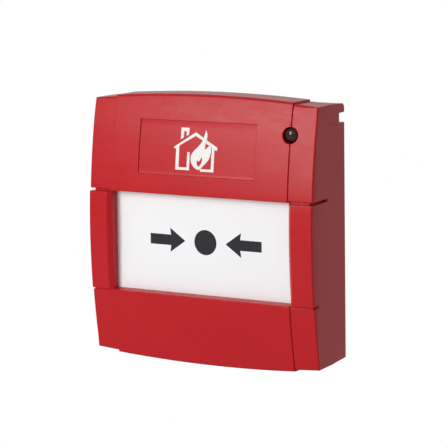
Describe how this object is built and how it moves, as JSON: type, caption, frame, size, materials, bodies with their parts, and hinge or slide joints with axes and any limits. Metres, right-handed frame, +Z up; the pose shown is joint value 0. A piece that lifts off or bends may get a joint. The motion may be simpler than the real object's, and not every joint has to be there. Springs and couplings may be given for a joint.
{
  "type": "manual call point",
  "caption": "Square red wall unit with a bowed front cover, a white pressed element in a window, a drop flag, a snap switch and a key-operated reset.",
  "frame": {"origin": "middle of the wall face of the mounting plate", "axes": "+X right, +Y back into the wall, +Z up, seen from the front"},
  "size_m": [0.088, 0.0265, 0.094],
  "materials": {
    "red_cover": "satin moulded",
    "white_panel": "fine satin with printed arrows",
    "black_plastic": "satin",
    "grey_plastic": "satin",
    "yellow_plastic": "satin",
    "lens": "polished dark red",
    "lamp": "polished",
    "board": "solder resist",
    "terminal_green": "satin",
    "ceramic": "lacquered",
    "steel": "zinc plated",
    "brass": "tinned brass"
  },
  "bodies": {
    "base": {"flag_bridge": "grey_plastic", "mounting_plate": "grey_plastic", "pivot_pin": "steel", "flag_spring_left": "steel", "flag_spring_right": "steel", "reset_spring": "steel", "chassis": "black_plastic", "barrel_clip": "black_plastic", "switch_body": "black_plastic", "capacitor": "black_plastic", "diode": "black_plastic", "lamp_spacer": "black_plastic", "circuit_board": "board", "alarm_resistor": "ceramic", "lamp_resistor": "ceramic", "status_lamp": "lamp", "terminal_block": "terminal_green", "terminal_clamp_1": "brass", "terminal_screw_1": "steel", "terminal_clamp_2": "brass", "terminal_screw_2": "steel", "terminal_clamp_3": "brass", "terminal_screw_3": "steel", "terminal_clamp_4": "brass", "terminal_screw_4": "steel", "switch_terminal_1": "brass", "switch_terminal_2": "brass", "switch_terminal_3": "brass", "board_screw_left": "steel", "bridge_screw_left": "steel", "clip_screw_left": "steel", "chassis_screw_left": "steel", "board_screw_right": "steel", "bridge_screw_right": "steel", "clip_screw_right": "steel", "chassis_screw_right": "steel", "chassis_screw_top": "steel"},
    "cover": {"front_cover": "red_cover", "lamp_lens": "lens"},
    "element": {"operating_element": "white_panel", "element_carrier": "grey_plastic"},
    "flag": {"operated_flag": "yellow_plastic"},
    "lever": {"switch_lever": "steel"},
    "plunger": {"switch_plunger": "red_cover"},
    "reset": {"reset_barrel": "black_plastic"}
  },
  "joints": [
    {"name": "cover_open", "type": "hinge", "parent": "base", "child": "cover", "pos_m": [0, -0.0017, 0.0419], "axis": [-1, 0, 0], "range_deg": [0, 50]},
    {"name": "element_press", "type": "hinge", "parent": "base", "child": "element", "pos_m": [0, -0.018, -0.028], "axis": [-1, 0, 0], "range_deg": [0, 4.5]},
    {"name": "flag_drop", "type": "slide", "parent": "base", "child": "flag", "axis": [0, 0, -1], "range_m": [0, 0.0045], "deforming": ["flag_spring_left", "flag_spring_right"]},
    {"name": "lever_tilt", "type": "hinge", "parent": "base", "child": "lever", "pos_m": [0.0069, -0.0128, 0.011], "axis": [0, 1, 0], "range_deg": [0, 10]},
    {"name": "plunger_slide", "type": "slide", "parent": "base", "child": "plunger", "axis": [0, 0, -1], "range_m": [0, 0.0007]},
    {"name": "reset_turn", "type": "hinge", "parent": "base", "child": "reset", "pos_m": [0, -0.0148, -0.035], "axis": [0, 0, 1], "range_deg": [0, 90], "stiffness_Nm_per_rad": 0.004}
  ],
  "couplings": [
    {"joint": "flag_drop", "follows": "element_press", "m_per_rad": 0.0572},
    {"joint": "lever_tilt", "follows": "element_press", "ratio": 2.22},
    {"joint": "plunger_slide", "follows": "element_press", "m_per_rad": 0.0089}
  ]
}
